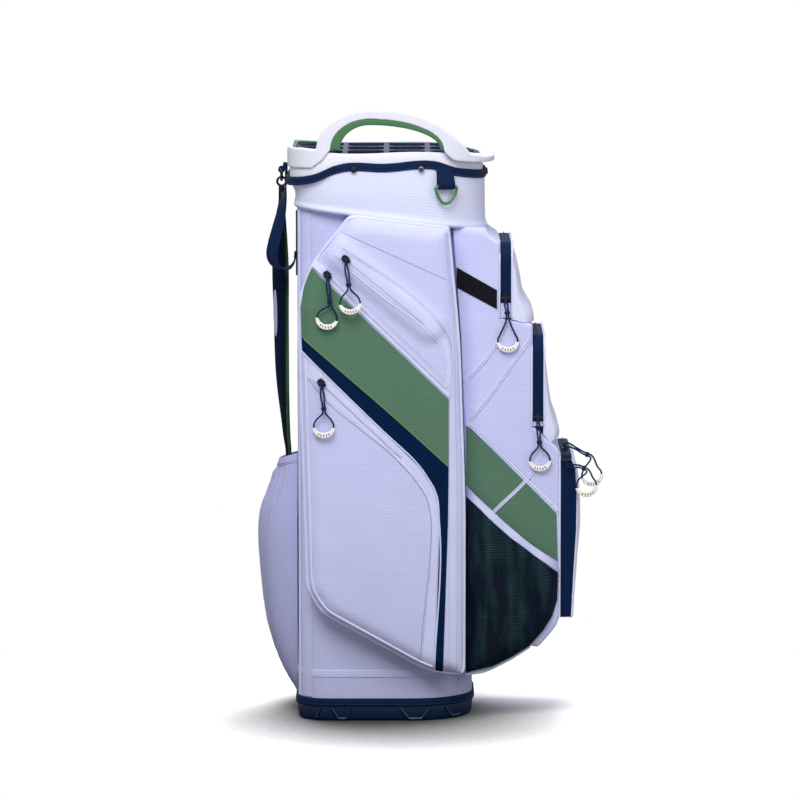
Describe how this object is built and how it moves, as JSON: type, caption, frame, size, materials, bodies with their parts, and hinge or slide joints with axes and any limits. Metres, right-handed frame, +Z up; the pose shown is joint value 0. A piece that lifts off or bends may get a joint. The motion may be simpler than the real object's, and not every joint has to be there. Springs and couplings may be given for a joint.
{
  "type": "golf cart bag",
  "caption": "Upright golf bag with a moulded collar, carry hoop, club divider, zipped fabric pockets, shoulder strap and moulded base.",
  "frame": {"origin": "middle of the base's underside, where the bag stands", "axes": "+Z up along the tube, +X towards the front pockets, -Y towards the side with the carry hoop"},
  "size_m": [0.5143, 0.3494, 0.909],
  "materials": {
    "white_fabric": "coated ripstop weave",
    "base_plastic": "moulded, fine texture",
    "navy_webbing": "woven tape, stitched edges",
    "navy_zip": "coated zip tape",
    "stay_rod": "drawn tube",
    "divider_fabric": "brushed lining",
    "collar_plastic": "satin moulding",
    "green_rubber": "soft moulded grip",
    "divider_plastic": "satin moulding",
    "rivet_metal": "blackened",
    "green_metal": "enamelled wire",
    "white_zip": "coated zip tape",
    "navy_mesh": "open knit mesh",
    "hook_loop": "short loop pile",
    "pouch_fabric": "stretch knit",
    "black_metal": "enamelled",
    "strap_fabric": "padded weave",
    "black_plastic": "moulded",
    "zip_metal": "black enamel",
    "pull_grip": "soft moulding on a woven cord"
  },
  "bodies": {
    "bag": {"base_tray": "base_plastic", "base_binding": "navy_webbing", "body_tube": "white_fabric", "stay_rods": "stay_rod", "divider_panels": "divider_fabric", "cuff": "white_fabric", "cuff_binding": "navy_webbing", "collar_ring": "collar_plastic", "halo_hoop": "collar_plastic", "hoop_grip": "green_rubber", "rear_grip": "green_rubber", "divider_grid": "divider_plastic", "collar_rivets": "rivet_metal", "towel_loop": "navy_webbing", "near_side_pocket": "white_fabric", "far_side_pocket": "white_fabric", "near_zip_welt": "white_fabric", "far_zip_welt": "white_fabric", "near_zips": "white_zip", "far_zips": "white_zip", "front_body": "white_fabric", "upper_zip_band": "navy_zip", "middle_zip_band": "navy_zip", "ball_zip_band": "navy_zip", "upper_cover": "white_fabric", "middle_cover": "white_fabric", "ball_cover": "white_fabric", "mesh_pocket": "navy_mesh", "glove_patch": "hook_loop", "spine_pouch": "pouch_fabric", "spine_webbing": "navy_webbing", "grab_handle": "navy_webbing", "strap_loop": "navy_webbing", "strap_ring": "black_metal", "strap_anchor": "black_plastic"},
    "near_upper_slider": {"near_upper_slider": "zip_metal"},
    "near_upper_pull": {"near_upper_pull": "pull_grip"},
    "near_band_slider": {"near_band_slider": "zip_metal"},
    "near_band_pull": {"near_band_pull": "pull_grip"},
    "near_lower_slider": {"near_lower_slider": "zip_metal"},
    "near_lower_pull": {"near_lower_pull": "pull_grip"},
    "far_upper_slider": {"far_upper_slider": "zip_metal"},
    "far_upper_pull": {"far_upper_pull": "pull_grip"},
    "far_band_slider": {"far_band_slider": "zip_metal"},
    "far_band_pull": {"far_band_pull": "pull_grip"},
    "far_lower_slider": {"far_lower_slider": "zip_metal"},
    "far_lower_pull": {"far_lower_pull": "pull_grip"},
    "front_upper_slider": {"front_upper_slider": "zip_metal"},
    "front_upper_pull": {"front_upper_pull": "pull_grip"},
    "front_middle_slider": {"front_middle_slider": "zip_metal"},
    "front_middle_pull": {"front_middle_pull": "pull_grip"},
    "ball_side_slider": {"ball_side_slider": "zip_metal"},
    "ball_side_pull": {"ball_side_pull": "pull_grip"},
    "ball_top_slider": {"ball_top_slider": "zip_metal"},
    "ball_top_pull": {"ball_top_pull": "pull_grip"},
    "towel_ring": {"towel_ring": "green_metal"},
    "shoulder_strap": {"strap_hook": "black_metal", "strap_pad": "strap_fabric", "strap_tail": "navy_webbing"}
  },
  "joints": [
    {"name": "near_upper_slider_slide", "type": "slide", "parent": "bag", "child": "near_upper_slider", "axis": [0.7733, 0, -0.634], "range_m": [0, 0.125]},
    {"name": "near_upper_pull_swing", "type": "hinge", "parent": "near_upper_slider", "child": "near_upper_pull", "pos_m": [-0.055, -0.1705, 0.693], "axis": [-1, 0, 0], "range_deg": [0, 110]},
    {"name": "near_band_slider_slide", "type": "slide", "parent": "bag", "child": "near_band_slider", "axis": [0.7216, 0, -0.6923], "range_m": [0, 0.215]},
    {"name": "near_band_pull_swing", "type": "hinge", "parent": "near_band_slider", "child": "near_band_pull", "pos_m": [-0.082, -0.163, 0.669], "axis": [-1, 0, 0], "range_deg": [0, 110]},
    {"name": "near_lower_slider_slide", "type": "slide", "parent": "bag", "child": "near_lower_slider", "axis": [0.7289, 0, -0.6846], "range_m": [0, 0.14]},
    {"name": "near_lower_pull_swing", "type": "hinge", "parent": "near_lower_slider", "child": "near_lower_pull", "pos_m": [-0.091, -0.163, 0.51], "axis": [-1, 0, 0], "range_deg": [0, 110]},
    {"name": "far_upper_slider_slide", "type": "slide", "parent": "bag", "child": "far_upper_slider", "axis": [0.7733, 0, -0.634], "range_m": [0, 0.125]},
    {"name": "far_upper_pull_swing", "type": "hinge", "parent": "far_upper_slider", "child": "far_upper_pull", "pos_m": [-0.055, 0.1705, 0.693], "axis": [1, 0, 0], "range_deg": [0, 110]},
    {"name": "far_band_slider_slide", "type": "slide", "parent": "bag", "child": "far_band_slider", "axis": [0.7216, 0, -0.6923], "range_m": [0, 0.215]},
    {"name": "far_band_pull_swing", "type": "hinge", "parent": "far_band_slider", "child": "far_band_pull", "pos_m": [-0.082, 0.163, 0.669], "axis": [1, 0, 0], "range_deg": [0, 110]},
    {"name": "far_lower_slider_slide", "type": "slide", "parent": "bag", "child": "far_lower_slider", "axis": [0.7289, 0, -0.6846], "range_m": [0, 0.14]},
    {"name": "far_lower_pull_swing", "type": "hinge", "parent": "far_lower_slider", "child": "far_lower_pull", "pos_m": [-0.091, 0.163, 0.51], "axis": [1, 0, 0], "range_deg": [0, 110]},
    {"name": "front_upper_slider_slide", "type": "slide", "parent": "bag", "child": "front_upper_slider", "axis": [0, 0, 1], "range_m": [0, 0.068]},
    {"name": "front_upper_pull_swing", "type": "hinge", "parent": "front_upper_slider", "child": "front_upper_pull", "pos_m": [0.18, -0.1108, 0.631], "axis": [-1, 0, 0], "range_deg": [0, 110]},
    {"name": "front_middle_slider_slide", "type": "slide", "parent": "bag", "child": "front_middle_slider", "axis": [0, 0, 1], "range_m": [0, 0.108]},
    {"name": "front_middle_pull_swing", "type": "hinge", "parent": "front_middle_slider", "child": "front_middle_pull", "pos_m": [0.228, -0.1108, 0.454], "axis": [-1, 0, 0], "range_deg": [0, 110]},
    {"name": "ball_side_slider_slide", "type": "slide", "parent": "bag", "child": "ball_side_slider", "axis": [0, 0, -1], "range_m": [0, 0.215]},
    {"name": "ball_side_pull_swing", "type": "hinge", "parent": "ball_side_slider", "child": "ball_side_pull", "pos_m": [0.27, -0.1108, 0.39], "axis": [-1, 0, 0], "range_deg": [0, 110]},
    {"name": "ball_top_slider_slide", "type": "slide", "parent": "bag", "child": "ball_top_slider", "axis": [0, 1, 0], "range_m": [0, 0.12]},
    {"name": "ball_top_pull_swing", "type": "hinge", "parent": "ball_top_slider", "child": "ball_top_pull", "pos_m": [0.27, -0.05, 0.4048], "axis": [0, -1, 0], "range_deg": [0, 75]},
    {"name": "towel_ring_swing", "type": "hinge", "parent": "bag", "child": "towel_ring", "pos_m": [0.09178, -0.12858, 0.797], "axis": [-0.9135, -0.4067, 0], "range_deg": [0, 100]},
    {"name": "strap_swing", "type": "hinge", "parent": "bag", "child": "shoulder_strap", "pos_m": [-0.1528, 0.014, 0.5], "axis": [0, 0, -1], "range_deg": [0, 15]}
  ]
}
